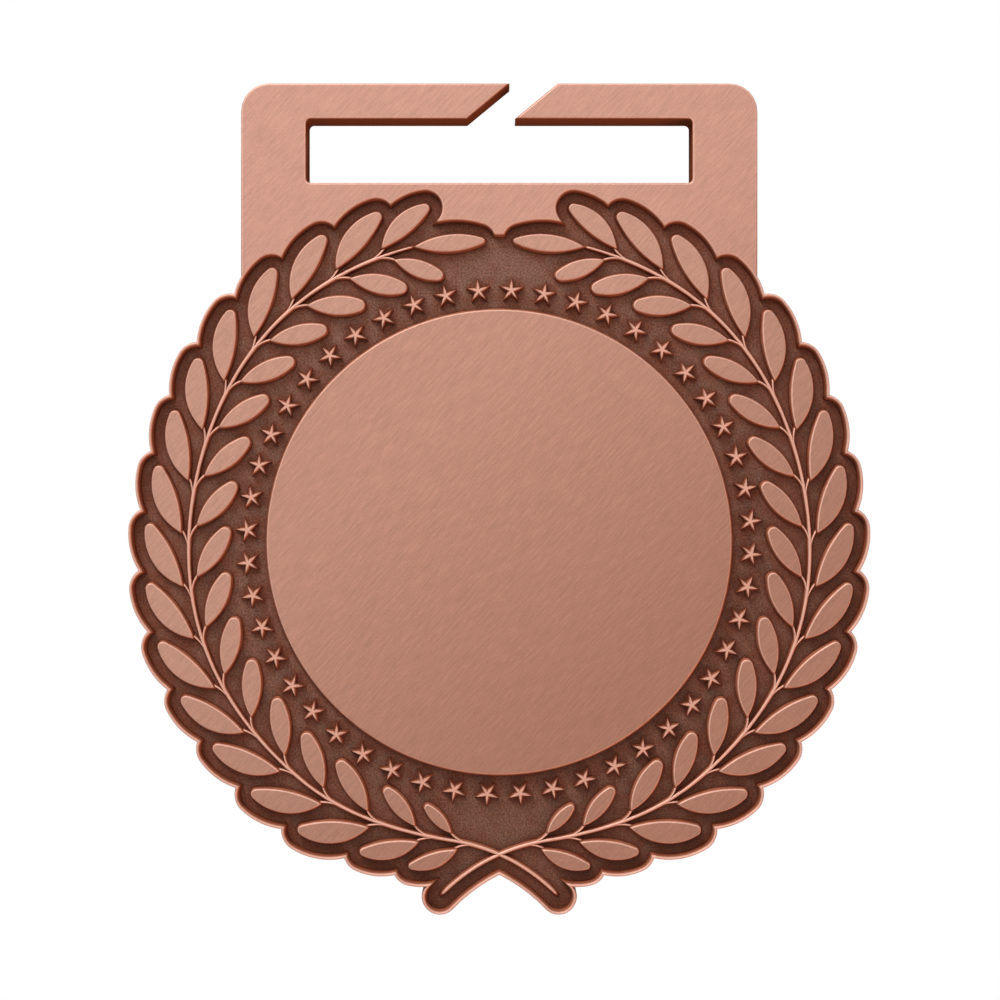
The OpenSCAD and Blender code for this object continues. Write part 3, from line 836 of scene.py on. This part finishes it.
def add_copy(bm, mesh, base, heading):
    """Adds a copy of a mesh that points up in its own frame, on the ground at a place."""
    before = len(bm.verts)
    bm.from_mesh(mesh)
    bm.verts.ensure_lookup_table()
    turn = Matrix.Rotation(radians(heading), 4, "Y")
    there = Matrix.Translation((base.x, -PLATE_T, base.y))
    bmesh.ops.transform(bm, matrix=there @ turn, verts=bm.verts[before:])


bm = bmesh.new()
for k in range(STAR_COUNT):
    a = STAR_START + 360 * k / STAR_COUNT
    add_copy(bm, one_star, polar(STAR_RING_R, a), a)
stars = finish_piece(bm, "stars", star_copper)
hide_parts("star_ring")

# ---------------------------------------------------------------------------------------
# Leaves: flat brushed leaves with leaning sides, cast with the ground, an outer and an inner
# one in each pair, and one at each branch's tip. The left branch is the right one mirrored.
# ---------------------------------------------------------------------------------------
LEAF_H = -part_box("right_outer_leaves")[0].y - PLATE_T
# Distance out from the foot and height over the ground, in millimetres.
LEAF_SECTION = [(0, 0), (-0.06, 0.26), (-0.12, 0.47), (-0.19, 0.66), (-0.26, 0.8), (-0.33, 0.9)]
FLANK_STEPS, TIP_STEPS = 16, 12
INNER_LAG, INNER_SPLAY = 1.45, 38           # azimuth ahead of its pair; angle to the stem
INNER_MARGIN = 0.2 * MM                     # ground between an inner leaf and the stars' points
LAST_INNER_SIZE = 0.69
inner_reach = WREATH_OFFSET - LEAF_OFFSET - STAR_SECTION[0][0] * MM - INNER_MARGIN
INNER_LENGTH = inner_reach / sin(radians(INNER_SPLAY))
INNER_LEAF = [INNER_LENGTH * share for share in (0.569, 0.177, 0.569, 0.186, 0.126)]

leaf_copper = brushed_copper("leaf_copper", LEAF_H, tone(182, 142, 126))


def leaf_loop(bm, leaf, grow, height):
    """Draws a leaf's outline, grown by a distance, at a height, and returns its edges."""
    (a, ra), (b, rb) = flanks(leaf)
    tip = leaf_tip(leaf)
    base = meeting(a, ra + grow, b, rb + grow)
    at_a, at_b = (tip + (leaf[4] + grow) * (tip - side).normalized() for side in (a, b))
    base, a, at_a, tip, at_b, b = (turned(v, 90) for v in (base, a, at_a, tip, at_b, b))
    loop = bmesh.new()
    first = loop.verts.new((base.x, -height, base.y))
    pen = arc_to(loop, first, a, at_a, 1, FLANK_STEPS)
    pen = arc_to(loop, pen, tip, at_b, 1, TIP_STEPS)
    pen = arc_to(loop, pen, b, base, 1, FLANK_STEPS)
    bmesh.ops.pointmerge(loop, verts=[first, pen], merge_co=first.co)
    return added(bm, loop)


def leaf_mesh(leaf):
    """One leaf that points up from its base at the origin, clockwise side to the right."""
    bm = bmesh.new()
    loops = [leaf_loop(bm, leaf, grow * MM, height * MM) for grow, height in LEAF_SECTION]
    bridge(bm, loops)
    smooth(bm)
    cap(bm, loops[0], loops[-1])
    mesh = bpy.data.meshes.new("one_leaf")
    bm.to_mesh(mesh)
    bm.free()
    return mesh


def inner_azimuth(i):
    return pair_azimuth(i) - INNER_LAG


def inner_leaf(i):
    """The leaf, its base and its heading."""
    a = inner_azimuth(i)
    base = stem_point(a) - polar(LEAF_OFFSET, a)
    return sized(INNER_LEAF, i, LAST_INNER_SIZE), base, stem_heading(a) - INNER_SPLAY


def left_and_right(bm, name, node, material):
    """Finishes a right-hand group and its mirrored twin, for the CAD nodes of both sides."""
    for side in ("right", "left"):
        copy = bm.copy()
        if side == "left":
            bmesh.ops.scale(copy, verts=copy.verts, vec=(-1, 1, 1))
        piece = finish_piece(copy, f"{side}_{name}", material)
        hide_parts(f"{side}_{node}")
    bm.free()


for name, node, leaves in (("outer_laurel", "outer_leaves", [outer_leaf(i) for i in range(PAIRS)]),
                           ("inner_laurel", "inner_leaves", [inner_leaf(i) for i in range(PAIRS)]),
                           ("tip_laurel", "tip_leaf", [(TIP_LEAF, tip_base, tip_heading)])):
    bm = bmesh.new()
    for leaf, base, heading in leaves:
        add_copy(bm, leaf_mesh(leaf), base, heading)
    left_and_right(bm, name, node, leaf_copper)

# ---------------------------------------------------------------------------------------
# Stems: a narrow ridge along each branch, with a stalk that bends off to every leaf, cast
# with the ground. The two branches cross at the foot and end in short curved tails.
# ---------------------------------------------------------------------------------------
STEM_W, STALK_W, STALK_H = 0.66 * MM, 0.42 * MM, 0.58 * MM
STEM_H = -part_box("right_stem")[0].y - PLATE_T
STEM_STEPS, TAIL_STEPS, STALK_STEPS = 120, 24, 7
STALK_RUN, STALK_BEND = 3.2, 0.6            # azimuths from a leaf back to its stalk's root and bend
NECK = 0.8 * MM                             # how far the stalk runs into its leaf
# Section of a ridge: shares of its width, across, and of its height.
RIDGE = [(-0.5, 0), (-0.44, 0.3), (-0.3, 0.68), (-0.14, 0.96), (-0.05, 1),
         (0.05, 1), (0.14, 0.96), (0.3, 0.68), (0.44, 0.3), (0.5, 0)]
END_RISE = 0.35                             # a ridge's ends are this share of its height

stem_copper = satin_copper("stem_copper", STEM_H, tone(212, 167, 151))


def ridge(bm, points, widths, height):
    """A ridge swept along a line, its section extruded from station to station."""
    last = len(points) - 1
    places = []
    for k, point in enumerate(points):
        along = points[min(k + 1, last)] - points[max(k - 1, 0)]
        turn = Matrix.Rotation(atan2(along.x, along.y), 4, "Y")
        size = Matrix.Diagonal((widths[k], height * (END_RISE if k in (0, last) else 1), 1, 1))
        places.append(Matrix.Translation((point.x, -PLATE_T, point.y)) @ turn @ size)
    ring = [bm.verts.new(places[0] @ Vector((x, -z, 0))) for x, z in RIDGE]
    edges = [bm.edges.new(pair) for pair in zip(ring, ring[1:] + ring[:1])]
    start = edges
    for before, after in zip(places, places[1:]):
        made = bmesh.ops.extrude_edge_only(bm, edges=edges)["geom"]
        verts = [v for v in made if isinstance(v, bmesh.types.BMVert)]
        edges = [e for e in made if isinstance(e, bmesh.types.BMEdge)]
        bmesh.ops.transform(bm, matrix=after @ before.inverted(), verts=verts)
    cap(bm, start, edges)


def branch_point(a):
    """A point of the stem's middle line, or of the tail's past its end."""
    return stem_point(a) if a < TAIL_FROM else tail_point((a - TAIL_FROM) * STEM_R / TAIL_R)


def stalk(bm, a, base, heading):
    """A stalk that leaves the stem behind its leaf and bends into the leaf's base."""
    root, bend, end = branch_point(a + STALK_RUN), stem_point(a + STALK_BEND), base + polar(NECK, heading)
    shares = [k / STALK_STEPS for k in range(STALK_STEPS + 1)]
    line = [root.lerp(bend, t).lerp(bend.lerp(end, t), t) for t in shares]
    ridge(bm, line, [STALK_W] * len(line), STALK_H)


bm = bmesh.new()
step = (TAIL_FROM - TIP_AZIMUTH) / STEM_STEPS
line = [stem_point(TIP_AZIMUTH - 1 + k * step) for k in range(STEM_STEPS)]
line += [tail_point(TAIL_TURN * k / TAIL_STEPS) for k in range(TAIL_STEPS + 1)]
# It swells over its first eight steps and narrows over its last two.
taper = [min(1, 0.6 + 0.4 * k / 8, 0.55 + 0.45 * (len(line) - 1 - k) / 2) for k in range(len(line))]
ridge(bm, line, [STEM_W * share for share in taper], STEM_H)
for i in range(PAIRS):
    stalk(bm, pair_azimuth(i), *outer_leaf(i)[1:])
    stalk(bm, inner_azimuth(i), *inner_leaf(i)[1:])
smooth(bm)
left_and_right(bm, "branch", "stem", stem_copper)

low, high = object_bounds()
